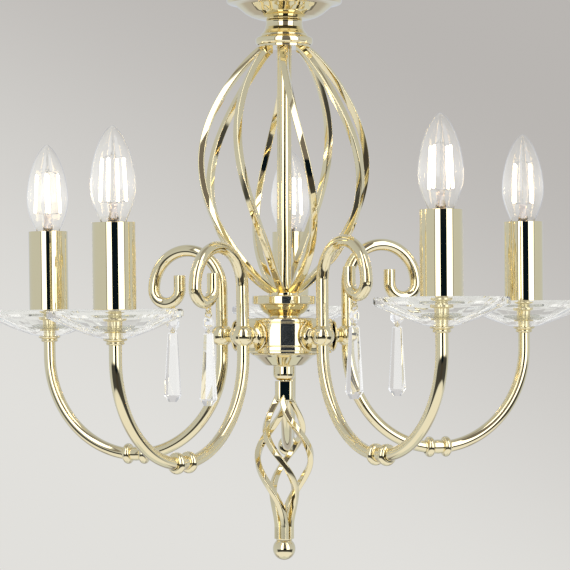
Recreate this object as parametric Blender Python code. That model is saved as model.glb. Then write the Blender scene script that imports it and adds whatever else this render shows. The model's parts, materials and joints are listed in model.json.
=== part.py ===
"""Five-arm brass ceiling chandelier with candle lamps, glass dishes and hanging crystals.

The frame's origin is the middle of the ceiling face, with +Z up, so the whole light hangs below it.
Sizes are written in millimetres. Heights are measured from the top of the hub, which is the level
where the arms, the cage and the finial all meet, and meshes are turned into metres as they are made.
"""

import math

import bmesh
import bpy
from mathutils import Matrix, Vector

MM = 0.001

# Driving sizes, in millimetres
DROP_TO_HUB = 262.0  # ceiling face down to the top of the hub
ARM_COUNT = 5
ARM_REACH = 210.5  # chandelier axis to lamp axis
ARM_INNER = 54.5  # chandelier axis to the upright part of an arm
ARM_DEPTH = 83.0  # depth of the arm's lower bend
ARM_BEND_Z = -28.0  # where the lower bend starts
TUBE_R = 5.0
GAP = 0.3  # between a piece and the one it rests on

# How each hand-set arm sits in its joint: its lift in millimetres and its droop in degrees
ARM_SETS = ((0.0, 0.0), (-1.6, 0.9), (-1.2, 1.2), (3.0, -0.7), (2.6, -0.5))

HUB_R = 40.0
HUB_H = 28.5
HUB_WALL = 2.5
HUB_MOUTH_R = 20.0  # wiring opening in the hub's floor, covered by the cone
ROD_R = 6.0
BORE_R = ROD_R + GAP
BALL_R = 9.5  # ball that grips an arm's upright
BALL_Z = -14.3

CAGE_TOP_Z = 221.0
CAGE_FOOT_Z = 21.6
CAGE_BARS = 8
CAGE_TOP_R = 17.0
CAGE_FOOT_R = 9.2
CAGE_BULGE = 57.0
CAGE_TWIST = 36.0  # degrees from top to bottom
BAR_W = 5.5

FINIAL_TOP_Z = -51.3
FINIAL_BALL_Z = -189.0
FINIAL_BALL_R = 9.3
STRANDS = 4
STRAND_R = 5.0  # axis to a strand's middle where they run together
STRAND_W = 4.9
BASKET_TOP_Z = -62.0
BASKET_H = 108.0
BASKET_BULGE = 17.2
BASKET_TWIST = 209.0  # degrees from top to bottom

SCROLL_TOP_Z = 26.0  # centre height of both scroll arcs
SCROLL_RISE = 32.0  # height of the scroll's upper loop above that
SCROLL_CURL_R = 11.5
SCROLL_TIP_X = 91.5
SCROLL_TIP_RISE = 14.0
EYE_X = 98.0  # chandelier axis to the eye, a little inside the scroll's lowest point
EYE_R = 2.4
EYE_WIRE_R = 0.8
LINK_R = 2.9
LINK_WIRE_R = 0.55
BEAD_HOLE_R = 1.6
PRISM_TURNS = (0.0, 18.0, -34.0, 66.0, -10.0)  # how each hanging prism has turned on its pin

DISH_R = 52.0
DISH_FLOOR_Z = -11.0
DISH_RIM_Z = 10.8
SLEEVE_R = 16.5
SLEEVE_Z = 10.8
SLEEVE_H = 66.4
BULB_R = 17.5
BULB_H = 73.5

# Facets round each kind of piece
ROUND = 16
ROUND_SMALL = 10


def clear_scene():
    for obj in list(bpy.data.objects):
        bpy.data.objects.remove(obj, do_unlink=True)


def material(name, colour, roughness, metallic=0.0, transmission=0.0):
    made = bpy.data.materials.new(name)
    made.use_nodes = True
    shader = made.node_tree.nodes["Principled BSDF"]
    shader.inputs["Base Color"].default_value = (*colour, 1.0)
    shader.inputs["Roughness"].default_value = roughness
    shader.inputs["Metallic"].default_value = metallic
    shader.inputs["Transmission Weight"].default_value = transmission
    return made


def mesh_from(name, points, faces):
    """A mesh in metres from points in millimetres, with its faces turned to point outwards."""
    mesh = bpy.data.meshes.new(name)
    mesh.from_pydata([Vector(p) * MM for p in points], [], faces)
    solid = bmesh.new()
    solid.from_mesh(mesh)
    bmesh.ops.recalc_face_normals(solid, faces=solid.faces)
    solid.to_mesh(mesh)
    solid.free()
    mesh.shade_smooth()
    mesh.set_sharp_from_angle(angle=math.radians(40))
    return mesh


def place(name, mesh, finish, parent=None, at=(0, 0, 0)):
    obj = bpy.data.objects.new(name, mesh)
    bpy.context.scene.collection.objects.link(obj)
    if not mesh.materials:
        mesh.materials.append(finish)
    obj.parent = parent
    obj.location = Vector(at) * MM
    return obj


def empty(name, parent, at=(0, 0, 0)):
    axis = bpy.data.objects.new(name, None)
    bpy.context.scene.collection.objects.link(axis)
    axis.parent = parent
    axis.location = Vector(at) * MM
    return axis


def turned_mesh(name, profile, sides=ROUND):
    """A lathe-turned solid round Z. profile is a closed outline of (radius, height) points."""
    points, rings, faces = [], [], []
    for radius, height in profile:
        first = len(points)
        count = 1 if radius < 1e-6 else sides
        for i in range(count):
            turn = 2 * math.pi * i / sides
            points.append((radius * math.cos(turn), radius * math.sin(turn), height))
        rings.append([first + i % count for i in range(sides)])
    for lower, upper in zip(rings, rings[1:] + rings[:1]):
        for i in range(sides):
            j = (i + 1) % sides
            corners = list(dict.fromkeys((lower[i], lower[j], upper[j], upper[i])))
            if len(corners) > 2:
                faces.append(corners)
    return mesh_from(name, points, faces)


def swept_points(path, frames, sections):
    """Rings of points along a path. frames holds two unit vectors per point, sections 2-D outlines."""
    points = []
    for centre, (side, rise), outline in zip(path, frames, sections):
        for a, b in outline:
            points.append(Vector(centre) + side * a + rise * b)
    return points


def swept_faces(rings, sides, first=0, closed=False):
    faces = []
    for k in range(rings if closed else rings - 1):
        here = first + k * sides
        there = first + (k + 1) % rings * sides
        for i in range(sides):
            j = (i + 1) % sides
            faces.append((here + i, here + j, there + j, there + i))
    if not closed:
        faces.append(tuple(first + i for i in range(sides)))
        faces.append(tuple(first + (rings - 1) * sides + i for i in reversed(range(sides))))
    return faces


def circle(radius, sides):
    turns = [2 * math.pi * i / sides for i in range(sides)]
    return [(radius * math.cos(a), radius * math.sin(a)) for a in turns]


def square(width):
    h = width / 2
    return [(-h, -h), (h, -h), (h, h), (-h, h)]


def box_points(low, high):
    xs, ys, zs = zip(low, high)
    return [(x, y, z) for x in xs for y in ys for z in zs]


BOX_FACES = [(0, 1, 3, 2), (4, 6, 7, 5), (0, 4, 5, 1), (2, 3, 7, 6), (0, 2, 6, 4), (1, 5, 7, 3)]


def arc(centre_x, centre_z, radius_x, radius_z, start, end, steps):
    """Points on an ellipse in the arm's plane, angles in degrees from the outward direction."""
    found = []
    for i in range(steps + 1):
        a = math.radians(start + (end - start) * i / steps)
        found.append((centre_x + radius_x * math.cos(a), centre_z + radius_z * math.sin(a)))
    return found


def planar_frames(path):
    """Side and rise vectors for a path that stays in the XZ plane."""
    frames = []
    for i in range(len(path)):
        ahead = Vector(path[min(i + 1, len(path) - 1)]) - Vector(path[max(i - 1, 0)])
        ahead.normalize()
        frames.append((Vector((0, 1, 0)), Vector((-ahead.z, 0, ahead.x))))
    return frames


def ring_mesh(name, radius, wire, steps, sides, plane="XZ"):
    """A closed wire ring whose middle is the origin, lying in the named plane."""
    points = []
    for i in range(steps):
        a = 2 * math.pi * i / steps
        out = Vector((math.cos(a), 0, math.sin(a)))
        across = Vector((0, 1, 0))
        if plane == "YZ":
            out, across = Vector((0, out.x, out.z)), Vector((1, 0, 0))
        for u, v in circle(wire, sides):
            points.append(out * (radius + u) + across * v)
    return mesh_from(name, points, swept_faces(steps, sides, closed=True))


def combined(name, base, operands):
    """Evaluates Boolean modifiers once. operands is a list of (operation, mesh) pairs."""
    body = bpy.data.objects.new(name, base)
    bpy.context.scene.collection.objects.link(body)
    helpers = []
    for operation, mesh in operands:
        helper = bpy.data.objects.new(f"{name}_helper", mesh)
        bpy.context.scene.collection.objects.link(helper)
        helper.hide_render = True
        helper.display_type = "WIRE"
        cut = body.modifiers.new(operation, "BOOLEAN")
        cut.operation = operation
        cut.solver = "EXACT"
        cut.use_self = True
        cut.object = helper
        helpers.append(helper)
    graph = bpy.context.evaluated_depsgraph_get()
    result = bpy.data.meshes.new_from_object(body.evaluated_get(graph))
    result.name = name
    for used in (body, *helpers):
        bpy.data.objects.remove(used, do_unlink=True)
    result.set_sharp_from_angle(angle=math.radians(40))
    return result


def shifted(mesh, x=0.0, y=0.0, z=0.0):
    mesh.transform(Matrix.Translation(Vector((x, y, z)) * MM))
    return mesh


def laid_along_x(mesh):
    mesh.transform(Matrix.Rotation(math.radians(90), 4, "Y"))
    return mesh


# The spine: rose, bracket, collar, rod, cage, hub and finial


def ceiling_rose():
    """Spun bowl that covers the ceiling fixing, with a flat brim against the ceiling."""
    outer = [(16.5, 244.2), (27.0, 246.7), (34.5, 251.0), (39.0, 255.6), (45.6, 257.2), (47.3, 258.6)]
    inner = [(44.5, 259.6), (37.6, 257.2), (33.4, 252.6), (26.4, 248.3), (BORE_R, 246.0)]
    lip = [(47.3, DROP_TO_HUB), (44.5, DROP_TO_HUB)]
    return turned_mesh("ceiling_rose", [(BORE_R, 244.2), *outer, *lip, *inner], 18)


def ceiling_bracket():
    """Steel strap screwed to the ceiling, with a boss that the rod is fixed in."""
    strap = mesh_from("strap", box_points((-35, -9, 260), (35, 9, DROP_TO_HUB)), BOX_FACES)
    boss_profile = [(BORE_R, 249), (9.5, 249), (9.5, 260.5), (0, 260.5), (0, 259), (BORE_R, 259)]
    boss = turned_mesh("boss", boss_profile, 12)
    window = mesh_from("window", box_points((2, -3.2, 252.2), (14, 3.2, 258.2)), BOX_FACES)
    holes = []
    for x in (-26, 26):
        hole = turned_mesh("screw_hole", [(0, 258), (2.4, 258), (2.4, 264), (0, 264)], 8)
        holes.append(("DIFFERENCE", shifted(hole, x=x)))
    operands = [("UNION", boss), ("DIFFERENCE", window), *holes]
    return combined("ceiling_bracket", strap, operands)


def top_collar():
    """Turned bell between the rose and the cage, recessed below for the cage's top ring."""
    outer = [(15.7, 243.9), (15.5, 241.5), (17.9, 233.0), (19.6, 231.2), (23.4, 229.0), (23.6, 224.6)]
    recess = [(22.6, 223.8), (21.6, 223.8), (21.6, 227.0), (BORE_R, 227.0)]
    return turned_mesh("top_collar", [(BORE_R, 243.9), *outer, *recess])


def centre_rod():
    """Tube that carries the light and the supply cable, from the ceiling bracket into the hub."""
    return turned_mesh("centre_rod", [(4.0, -8), (ROD_R, -8), (ROD_R, 251.5), (4.0, 251.5)], 12)


def twisted_bars(name, centre, count, first_degrees, width, stations):
    """Square bars round Z. centre(t, turn) gives a bar's middle at t, for a bar that starts at turn."""
    points, faces = [], []
    for bar in range(count):
        turn = math.radians(first_degrees + 360 / count * bar)
        first = len(points)
        for t in stations:
            here = centre(t, turn)
            ahead = (centre(t + 0.01, turn) - centre(t - 0.01, turn)).normalized()
            out = Vector((here.x, here.y, 0)).normalized()
            side = ahead.cross(out).normalized()
            points += swept_points([here], [(side, side.cross(ahead))], [square(width)])
        faces += swept_faces(len(stations), 4, first)
    return mesh_from(name, points, faces)


def cage_bar_centre(t, first_turn):
    """Middle of a cage bar at t, from 0 at the top to 1 at the bottom."""
    held = min(max(t, 0), 1)
    taper = CAGE_TOP_R + (CAGE_FOOT_R - CAGE_TOP_R) * t
    radius = taper + CAGE_BULGE * math.sin(math.pi * held**1.06) ** 0.75
    turn = first_turn + math.radians(CAGE_TWIST) * t
    height = CAGE_TOP_Z + (CAGE_FOOT_Z - CAGE_TOP_Z) * t
    return Vector((radius * math.cos(turn), radius * math.sin(turn), height))


def bar_cage():
    """Eight square bars bowed out and turned part of the way round, brazed to a ring at each end."""
    top = turned_mesh("cage_top", [(BORE_R, 221.5), (21.2, 221.5), (21.2, 226.7), (BORE_R, 226.7)])
    foot = turned_mesh("cage_foot", [(BORE_R, 18.6), (13.2, 18.6), (13.2, 21.2), (BORE_R, 21.2)])
    stations = [i / 12 for i in range(13)]
    bars = twisted_bars("cage_bars", cage_bar_centre, CAGE_BARS, -91, BAR_W, stations)
    return combined("bar_cage", top, [("UNION", bars), ("UNION", foot)])


def hub_cap():
    """Turned disc and bowl on top of the hub that the cage stands on."""
    bowl = [(12.9, GAP), (12.9, 2.6), (17.5, 5.2), (21.2, 11.0)]
    disc = [(26.4, 11.3), (26.4, 18.0), (25.6, 18.3)]
    return turned_mesh("hub_cap", [(BORE_R, GAP), *bowl, *disc, (BORE_R, 18.3)])


def hub_body():
    """Hollow drum with a hole for each arm joint and an opening in its floor for wiring."""
    inside = HUB_R - HUB_WALL
    outer = [(HUB_R - 1, 0.0), (HUB_R, -1.0), (HUB_R, -HUB_H)]
    floor = [(HUB_MOUTH_R, -HUB_H), (HUB_MOUTH_R, HUB_WALL - HUB_H), (inside, HUB_WALL - HUB_H)]
    roof = [(inside, -HUB_WALL), (BORE_R, -HUB_WALL)]
    drum = turned_mesh("drum", [(BORE_R, 0.0), *outer, *floor, *roof], 20)
    holes = []
    for arm in range(ARM_COUNT):
        through = [(0, inside - 5), (3.4, inside - 5), (3.4, HUB_R + 5), (0, HUB_R + 5)]
        hole = shifted(laid_along_x(turned_mesh("hole", through, 8)), z=BALL_Z)
        hole.transform(Matrix.Rotation(arm_angle(arm), 4, "Z"))
        holes.append(("DIFFERENCE", hole))
    return combined("hub_body", drum, holes)


def hub_base():
    """Cone that closes the hub and the ferrule that holds the finial."""
    cone = [(27.4, -28.8), (27.4, -29.6), (15.5, -38.6), (9.2, -39.0)]
    ferrule = [(9.2, -48.2), (8.3, -50.2), (6.2, -51.0), (4.3, -51.0)]
    return turned_mesh("hub_base", [(0, -28.8), *cone, *ferrule, (4.3, -40.5), (0, -40.5)])


def strand_centre(t, first_turn):
    """Middle of a finial strand at t: a straight bundle, a twisted basket from 0 to 1, a bundle again."""
    held = min(max(t, 0), 1)
    radius = STRAND_R + BASKET_BULGE * math.sin(math.pi * held**0.85) ** 1.75
    turn = first_turn + math.radians(BASKET_TWIST) * held
    return Vector((radius * math.cos(turn), radius * math.sin(turn), BASKET_TOP_Z - BASKET_H * t))


def twist_finial():
    """Twisted basket with its threaded stud above and its ball below."""
    stations = [-0.09, *(i / 14 for i in range(15)), 1.11]
    strands = twisted_bars("strands", strand_centre, STRANDS, -199, STRAND_W, stations)
    core = [(0, -66), (3.6, -66), (3.6, -53)]
    thread = [(7.6, -53), (7.6, FINIAL_TOP_Z), (3.9, FINIAL_TOP_Z), (3.9, -41), (0, -41)]
    stud = turned_mesh("stud", [*core, *thread], 12)
    round_part = arc(0, FINIAL_BALL_Z, FINIAL_BALL_R, FINIAL_BALL_R, -75, 60, 7)
    ball_profile = [(0, FINIAL_BALL_Z - FINIAL_BALL_R), *round_part, (3.6, -180), (3.6, -166), (0, -166)]
    ball = turned_mesh("ball", ball_profile, 12)
    return combined("twist_finial", stud, [("UNION", strands), ("UNION", ball)])


def supply_wiring():
    """Cable up the rod and its connector block beside the bracket's boss."""
    path = [(0, 0, -20), (0, 0, 120), (0, 0, 253), (2, 0, 255.2), (17, 0, 255.2)]
    frames = planar_frames(path)
    points = swept_points(path, frames, [circle(2.2, 8)] * len(path))
    cable = mesh_from("cable", points, swept_faces(len(path), 8))
    block = mesh_from("block", box_points((15.5, -8, 251.6), (25, 8, 258.4)), BOX_FACES)
    return combined("supply_wiring", cable, [("UNION", block)])


# One arm, in its own plane: +X points away from the chandelier's axis


def arm_angle(arm):
    """The first arm points along +Y."""
    return math.radians(90) + 2 * math.pi * arm / ARM_COUNT


def arm_stations():
    """Centreline points and tube radii, from the scroll's tip to the threaded end under the lamp."""
    outer = SCROLL_TIP_X + 2 * SCROLL_CURL_R
    curl = arc(SCROLL_TIP_X + SCROLL_CURL_R, SCROLL_TOP_Z, SCROLL_CURL_R, SCROLL_CURL_R, 180, 360, 6)
    loop_r = (outer - ARM_INNER) / 2
    loop = arc(ARM_INNER + loop_r, SCROLL_TOP_Z, loop_r, SCROLL_RISE, 0, 180, 9)
    half = (ARM_REACH - ARM_INNER) / 2
    bend = arc(ARM_INNER + half, ARM_BEND_Z, half, ARM_DEPTH, 180, 360, 16)
    seat = [(-16.0, TUBE_R), (-15.6, 7.4), (-14.2, 7.4), (-13.9, 9.0), (-11.6, 9.0), (-11.3, TUBE_R)]
    seat += [(8.0, TUBE_R)]
    path = [(SCROLL_TIP_X, SCROLL_TOP_Z + SCROLL_TIP_RISE), *curl, *loop[1:], *bend]
    radii = [TUBE_R] * len(path)
    path += [(ARM_REACH, z) for z, _ in seat]
    radii += [radius for _, radius in seat]
    return [(x, 0, z) for x, z in path], radii


def arm_tube():
    """Bent tube with its scroll, the eye for the drop, the dish seat and the threaded end."""
    path, radii = arm_stations()
    sections = [circle(radius, 8) for radius in radii]
    points = swept_points(path, planar_frames(path), sections)
    tube = mesh_from("tube", points, swept_faces(len(path), 8))
    eye = ring_mesh("eye", EYE_R, EYE_WIRE_R, 8, 5)
    shifted(eye, x=EYE_X, z=eye_z())
    return combined("arm_tube", tube, [("UNION", eye)])


def eye_z():
    """Height of the eye's middle, hanging from the scroll's underside."""
    from_middle = EYE_X - SCROLL_TIP_X - SCROLL_CURL_R
    underside = math.sqrt((SCROLL_CURL_R + TUBE_R) ** 2 - from_middle**2)
    return SCROLL_TOP_Z - underside - 1.9


def eye_place(arm):
    """Where an arm's eye ends up in its upright plane, once the arm sits in its joint as set."""
    lift, droop = ARM_SETS[arm]
    pivot = Vector((ARM_INNER, 0, BALL_Z))
    eye = Vector((EYE_X, 0, eye_z()))
    turned = Matrix.Rotation(math.radians(droop), 3, "Y") @ (eye - pivot)
    return pivot + turned + Vector((0, 0, lift))


def arm_joint():
    """Bored ball round the arm's upright, with the turned stub and flange that fix it to the hub."""
    half_angle = math.degrees(math.acos((TUBE_R + GAP) / BALL_R))
    ball = turned_mesh("joint_ball", arc(0, 0, BALL_R, BALL_R, -half_angle, half_angle, 5), ROUND_SMALL)
    shifted(ball, x=ARM_INNER, z=BALL_Z)
    face = HUB_R + GAP
    flange = [(12.6, face), (13.2, face + 0.6), (13.2, face + 1.6), (12.6, face + 2.0)]
    neck = [(8.6, face + 2.6), (6.6, face + 4.0), (6.2, face + 5.4), (5.2, face + 6.4), (5.2, 48.2)]
    profile = [(0, HUB_R - 6), (3, HUB_R - 6), (3, face), *flange, *neck, (0, 48.2)]
    stub = shifted(laid_along_x(turned_mesh("joint_stub", profile, ROUND_SMALL)), z=BALL_Z)
    return combined("arm_joint", ball, [("UNION", stub)])


def arm_knuckle():
    """Turned double ring round the lowest part of the arm."""
    first = [(6.4, -11.3), (8.5, -9.9), (8.5, -6.0), (6.7, -4.0)]
    second = [(radius, -along) for radius, along in reversed(first)]
    bore = TUBE_R + 3 * GAP
    knuckle = turned_mesh("arm_knuckle", [(bore, -11.3), *first, *second, (bore, 11.3)], ROUND_SMALL)
    return shifted(laid_along_x(knuckle), z=0.6)


def glass_dish():
    """Cut-glass drip dish with a deep rim and a hole in its floor."""
    under = [(9.6, DISH_FLOOR_Z), (DISH_R - 1, 4.4), (DISH_R, 5.2)]
    rim = [(DISH_R, DISH_RIM_Z - 0.6), (DISH_R - 0.8, DISH_RIM_Z), (DISH_R - 5, DISH_RIM_Z)]
    floor = [(DISH_R - 9, 7.2), (14.5, -4.9), (TUBE_R + 0.6, -4.9)]
    return turned_mesh("glass_dish", [(TUBE_R + 0.6, DISH_FLOOR_Z), *under, *rim, *floor])


def lamp_holder():
    """Washer that clamps the dish, collar on the arm's thread, sleeve plate, and the cap socket."""
    bore = TUBE_R + GAP
    foot = [(bore, -4.6), (13.5, -4.6), (15.5, -3.6), (15.2, -2.9), (7.0, -2.4), (7.0, 8.6)]
    plate = [(16.0, 9.0), (16.0, 10.5), (8.0, 10.5), (8.0, 42.0), (12.6, 44.0), (12.6, 71.5)]
    socket = [(7.6, 71.5), (7.6, 46.0), (0, 46.0), (0, 9.5), (bore, 9.5)]
    return turned_mesh("lamp_holder", [*foot, *plate, *socket], ROUND_SMALL)


def candle_sleeve():
    """Straight metal tube that hides the lamp holder."""
    wall = 1.0
    top = SLEEVE_Z + SLEEVE_H
    inner = SLEEVE_R - wall
    profile = [(inner, SLEEVE_Z), (SLEEVE_R, SLEEVE_Z), (SLEEVE_R, top), (inner, top)]
    return turned_mesh("candle_sleeve", profile)


def bulb_radius(height):
    """Outline of the candle bulb, from its widest height up to the tip and down to the neck."""
    widest = 0.37 * BULB_H
    if height > widest:
        return BULB_R * math.cos(math.pi / 2 * ((height - widest) / (BULB_H - widest)) ** 1.25)
    return 9.6 + (BULB_R - 9.6) * math.cos(math.pi / 2 * (widest - height) / (widest + 3)) ** 0.9


def bulb_glass():
    """Thin glass envelope, open at its neck where the cap closes it. Its origin is on the lamp axis."""
    base = SLEEVE_Z + SLEEVE_H
    heights = [-3.0, 7.0, 17.0, 27.0, 40.0, 54.0, 66.0]
    outer = [(bulb_radius(h), base + h) for h in heights]
    inner = [(bulb_radius(h) - 1.0, base + h) for h in reversed(heights)]
    tip = [(0, base + BULB_H), (0, base + BULB_H - 1.5)]
    return turned_mesh("bulb_glass", [*outer, *tip, *inner], ROUND_SMALL)


def bulb_cap():
    """Small screw cap with the stem that carries the filaments."""
    base = SLEEVE_Z + SLEEVE_H
    cap = [(0, 47.0), (3.0, 47.0), (6.7, 50.0), (6.7, 71.9), (9.4, 73.0), (9.4, base - 3.4)]
    stem = [(3.4, base - 3.4), (3.0, base + 14.0), (6.2, base + 16.0)]
    filaments = [(5.6, base + 46.0), (0, base + 46.0)]
    return turned_mesh("bulb_cap", [*cap, *stem, *filaments], ROUND_SMALL)


def drop_link():
    """Wire ring from the scroll's eye to the crystal's bead. Its origin is the middle of the eye."""
    link = ring_mesh("drop_link", LINK_R, LINK_WIRE_R, 12, 5, plane="YZ")
    return shifted(link, z=-0.6 - LINK_R)


def crystal_drop(turn):
    """Octagonal bead, pin and long prism, turned on its pin. Its origin is the bead's upper hole."""
    bead_r = 6.2
    centre = -3.55
    corners = [math.radians(22.5 + 45 * i) for i in range(8)]
    points = []
    for y, scale in ((-2.6, 0.45), (-1.0, 1.0), (1.0, 1.0), (2.6, 0.45)):
        size = bead_r * scale
        points += [(size * math.cos(a), y, centre + size * math.sin(a)) for a in corners]
    bead = mesh_from("bead", points, swept_faces(4, 8))
    hole = turned_mesh("hole", [(0, -4), (BEAD_HOLE_R, -4), (BEAD_HOLE_R, 4), (0, 4)], 8)
    hole.transform(Matrix.Rotation(math.radians(90), 4, "X"))
    pin = turned_mesh("pin", [(0, -13.5), (0.9, -13.5), (0.9, -8.0), (0, -8.0)], 6)
    prism = prism_mesh()
    prism.transform(Matrix.Rotation(math.radians(turn), 4, "Z"))
    shifted(prism, z=-10.3)
    return combined("crystal_drop", bead, [("DIFFERENCE", hole), ("UNION", pin), ("UNION", prism)])


def prism_mesh():
    """Six-sided crystal that widens downwards to a blunt point. Its top is at the origin."""
    stations = [(0.0, 5.6, 3.6), (-2.2, 8.4, 5.4), (-53.4, 14.6, 8.6), (-58.8, 7.0, 3.0)]
    points = []
    for z, width, thickness in stations:
        outline = [(0.5, 0), (0.24, 0.5), (-0.24, 0.5), (-0.5, 0), (-0.24, -0.5), (0.24, -0.5)]
        points += [(x * width, y * thickness, z) for x, y in outline]
    return mesh_from("prism", points, swept_faces(len(stations), 6))


def build():
    clear_scene()
    brass = material("polished_brass", (0.85, 0.74, 0.48), 0.08, metallic=1.0)
    steel = material("zinc_steel", (0.62, 0.62, 0.60), 0.35, metallic=1.0)
    crystal = material("clear_crystal", (0.97, 0.98, 0.98), 0.0, transmission=1.0)
    glass = material("bulb_glass", (0.98, 0.98, 0.96), 0.0, transmission=1.0)
    bakelite = material("cream_bakelite", (0.80, 0.77, 0.70), 0.4)
    sheath = material("cable_sheath", (0.85, 0.83, 0.78), 0.5)

    spine = empty("hub_top", None, (0, 0, -DROP_TO_HUB))
    for mesh, finish in (
        (ceiling_rose(), brass),
        (ceiling_bracket(), steel),
        (top_collar(), brass),
        (centre_rod(), brass),
        (bar_cage(), brass),
        (hub_cap(), brass),
        (hub_body(), brass),
        (hub_base(), brass),
        (twist_finial(), brass),
        (supply_wiring(), sheath),
    ):
        place(mesh.name, mesh, finish, spine)

    lamp = (ARM_REACH, 0, 0)
    bottom = ((ARM_INNER + ARM_REACH) / 2, 0, ARM_BEND_Z - ARM_DEPTH)
    joint = arm_joint()
    rigid = (
        (arm_tube(), brass, (0, 0, 0)),
        (arm_knuckle(), brass, bottom),
        (glass_dish(), crystal, lamp),
        (lamp_holder(), bakelite, lamp),
        (candle_sleeve(), brass, lamp),
        (bulb_glass(), glass, lamp),
        (bulb_cap(), steel, lamp),
    )
    link = drop_link()
    for arm in range(ARM_COUNT):
        axis = empty(f"arm_{arm + 1}_axis", spine)
        axis.rotation_euler.z = arm_angle(arm)
        place(f"arm_joint_{arm + 1}", joint, brass, axis)
        lift, droop = ARM_SETS[arm]
        bend = empty(f"arm_{arm + 1}_bend", axis, (ARM_INNER, 0, BALL_Z + lift))
        bend.rotation_euler.y = math.radians(droop)
        for mesh, finish, at in rigid:
            place(f"{mesh.name}_{arm + 1}", mesh, finish, bend, Vector(at) - Vector((ARM_INNER, 0, BALL_Z)))
        eye = eye_place(arm)
        place(f"drop_link_{arm + 1}", link, brass, axis, eye)
        bead_hole = eye - Vector((0, 0, 1.0 + 2 * LINK_R))
        place(f"crystal_drop_{arm + 1}", crystal_drop(PRISM_TURNS[arm]), crystal, axis, bead_hole)


build()
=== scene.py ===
"""The looks of a five-arm polished brass chandelier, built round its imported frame.

Shapes are written in millimetres. A spine piece's heights count from the top of the hub. An arm's
pieces are written in the arm's own plane: X points away from the chandelier's axis, and Z is the
height above the top of the hub. Each shape is then placed by the frame.
"""

import json
import math

import bmesh
import bpy
from mathutils import Matrix, Vector


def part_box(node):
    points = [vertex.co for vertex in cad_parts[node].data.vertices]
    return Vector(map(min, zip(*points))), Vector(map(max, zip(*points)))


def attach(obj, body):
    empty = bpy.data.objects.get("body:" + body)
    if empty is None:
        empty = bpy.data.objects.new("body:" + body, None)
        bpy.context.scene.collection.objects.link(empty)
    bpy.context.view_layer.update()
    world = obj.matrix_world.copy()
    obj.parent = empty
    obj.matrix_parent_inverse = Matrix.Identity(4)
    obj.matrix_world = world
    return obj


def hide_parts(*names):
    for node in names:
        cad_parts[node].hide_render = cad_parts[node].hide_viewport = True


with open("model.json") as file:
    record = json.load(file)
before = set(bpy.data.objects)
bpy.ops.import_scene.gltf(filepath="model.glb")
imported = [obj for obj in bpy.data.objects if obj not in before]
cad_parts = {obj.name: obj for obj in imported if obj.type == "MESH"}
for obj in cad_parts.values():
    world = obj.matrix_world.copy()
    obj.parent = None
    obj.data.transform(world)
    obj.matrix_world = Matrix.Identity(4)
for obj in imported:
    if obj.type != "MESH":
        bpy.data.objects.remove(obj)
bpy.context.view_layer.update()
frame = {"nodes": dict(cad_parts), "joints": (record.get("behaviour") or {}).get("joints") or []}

MM = 0.001
CHANDELIER = "chandelier"
ARMS = range(1, 1 + sum(name.startswith("candle_sleeve") for name in frame["nodes"]))

# Where the frame puts things

HUB_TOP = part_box("hub_body")[1].z
SPINE = Matrix.Translation((0, 0, HUB_TOP))
JOINTS = {joint["name"]: joint for joint in frame["joints"]}


def upright_axes(number):
    """An arm's frame as designed: X outwards, Z up, at the top of the hub."""
    out = Vector(JOINTS[f"link_{number}_swing"]["axis"])
    return SPINE @ Matrix.Rotation(math.atan2(out.y, out.x), 4, "Z")


def arm_box(node):
    """A node's box in the first arm's own plane, in millimetres."""
    inverse = upright_axes(1).inverted()
    points = [inverse @ v.co / MM for v in frame["nodes"][node].data.vertices]
    low = Vector(min(p[i] for p in points) for i in range(3))
    high = Vector(max(p[i] for p in points) for i in range(3))
    return low, high


def spine_box(node):
    low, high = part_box(node)
    lift = Vector((0, 0, HUB_TOP))
    return (low - lift) / MM, (high - lift) / MM


TUBE_R = 5.0
TUBE_LOW = arm_box("arm_tube_1")[0]
SLEEVE_LOW, SLEEVE_HIGH = arm_box("candle_sleeve_1")
DISH_LOW, DISH_HIGH = arm_box("glass_dish_1")
BULB_TOP = arm_box("bulb_glass_1")[1].z
LINK_LOW, LINK_HIGH = arm_box("drop_link_1")
DROP_LOW, DROP_HIGH = arm_box("crystal_drop_1")
KNUCKLE_LOW, KNUCKLE_HIGH = arm_box("arm_knuckle_1")
CAGE_LOW, CAGE_HIGH = spine_box("bar_cage")
ROSE_LOW, ROSE_HIGH = spine_box("ceiling_rose")
FINIAL_TIP = spine_box("twist_finial")[0].z

REACH = (SLEEVE_LOW.x + SLEEVE_HIGH.x) / 2
INNER = TUBE_LOW.x + TUBE_R
BEND_LOW = TUBE_LOW.z + TUBE_R
BEND_DEPTH = 83.0
BEND_Z = BEND_LOW + BEND_DEPTH
DROP_X = (LINK_LOW.x + LINK_HIGH.x) / 2
EYE_R = 2.4
EYE_Z = LINK_HIGH.z + 0.05
EYE_TO_SCROLL = 1.9
CURL_R = 11.5
CURL_X = 103.0
SCROLL_Z = EYE_Z + EYE_TO_SCROLL + math.sqrt((CURL_R + TUBE_R) ** 2 - (CURL_X - DROP_X) ** 2)
SCROLL_RISE = 32.0
TIP_RISE = 11.0
SLEEVE_R = (SLEEVE_HIGH.y - SLEEVE_LOW.y) / 2
SLEEVE_TOP = SLEEVE_HIGH.z
DISH_R = (DISH_HIGH.y - DISH_LOW.y) / 2
BULB_R = 17.5
LINK_WIRE_R = 0.55
LINK_R = (LINK_HIGH.z - LINK_LOW.z) / 2 - LINK_WIRE_R
BALL_R = 9.5
BALL_Z = -14.3
BORE_R = 6.3
HUB_R = spine_box("hub_body")[1].x


def eye_axes(number):
    """The upright frame moved to where a hand-set arm's eye has ended up, for its hanging drop."""
    upright = upright_axes(number)
    eye = Vector(JOINTS[f"link_{number}_swing"]["pos_m"]) + Vector((0, 0, EYE_R * MM))
    return Matrix.Translation(eye - upright @ Vector((DROP_X * MM, 0, EYE_Z * MM))) @ upright


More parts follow.
